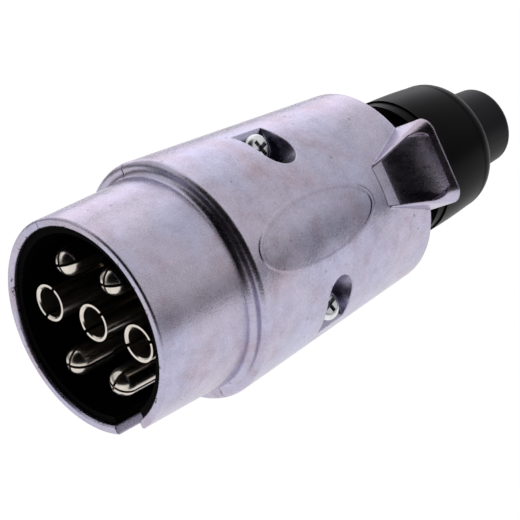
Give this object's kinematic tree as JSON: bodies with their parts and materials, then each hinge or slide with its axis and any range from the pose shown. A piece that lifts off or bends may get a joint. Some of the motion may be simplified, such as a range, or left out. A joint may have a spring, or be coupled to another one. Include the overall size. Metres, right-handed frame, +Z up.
{
  "type": "trailer wiring connector",
  "caption": "Round trailer wiring plug: cast clamshell housing with a catch lug, split pin and tube contacts in a lined nose, and a screw cable gland.",
  "frame": {"origin": "centre of the nose's front rim, on the plug's axis", "axes": "+Y runs along the axis from the mating face to the cable end; +Z is up, square to the row of tube contacts; +X is to the right as seen from the front"},
  "size_m": [0.0454, 0.1002, 0.0422],
  "materials": {
    "cast_aluminium": "fine matt die-cast skin, lightly mottled",
    "black_plastic": "moulded satin",
    "gland_plastic": "smooth satin",
    "black_rubber": "smooth, slightly dull",
    "plated_brass": "bright nickel plate",
    "plated_steel": "bright zinc plate"
  },
  "bodies": {
    "housing": {"top_shell_half": "cast_aluminium", "bottom_shell_half": "cast_aluminium", "shell_screws": "plated_steel", "contact_carrier": "black_plastic", "carrier_back_plate": "black_plastic", "back_plate_screws": "plated_steel", "pin_contact_1": "plated_brass", "pin_contact_2": "plated_brass", "pin_contact_3": "plated_brass", "pin_contact_4": "plated_brass", "tube_contact_left": "plated_brass", "tube_contact_centre": "plated_brass", "tube_contact_right": "plated_brass", "terminal_screws": "plated_steel", "gland_body": "black_plastic", "sealing_bush": "black_rubber"},
    "washer_carriage": {"slip_washer": "black_plastic"},
    "nut": {"gland_nut": "gland_plastic"}
  },
  "joints": [
    {"name": "gland_travel", "type": "slide", "parent": "housing", "child": "washer_carriage", "axis": [0, 1, 0], "range_m": [0, 0.006]},
    {"name": "gland_turn", "type": "hinge", "parent": "washer_carriage", "child": "nut", "pos_m": [0, 0.081, 0], "axis": [0, 1, 0], "range_deg": [0, 1080]}
  ],
  "couplings": [
    {"joint": "gland_turn", "follows": "gland_travel", "rad_per_m": 3141.6}
  ]
}
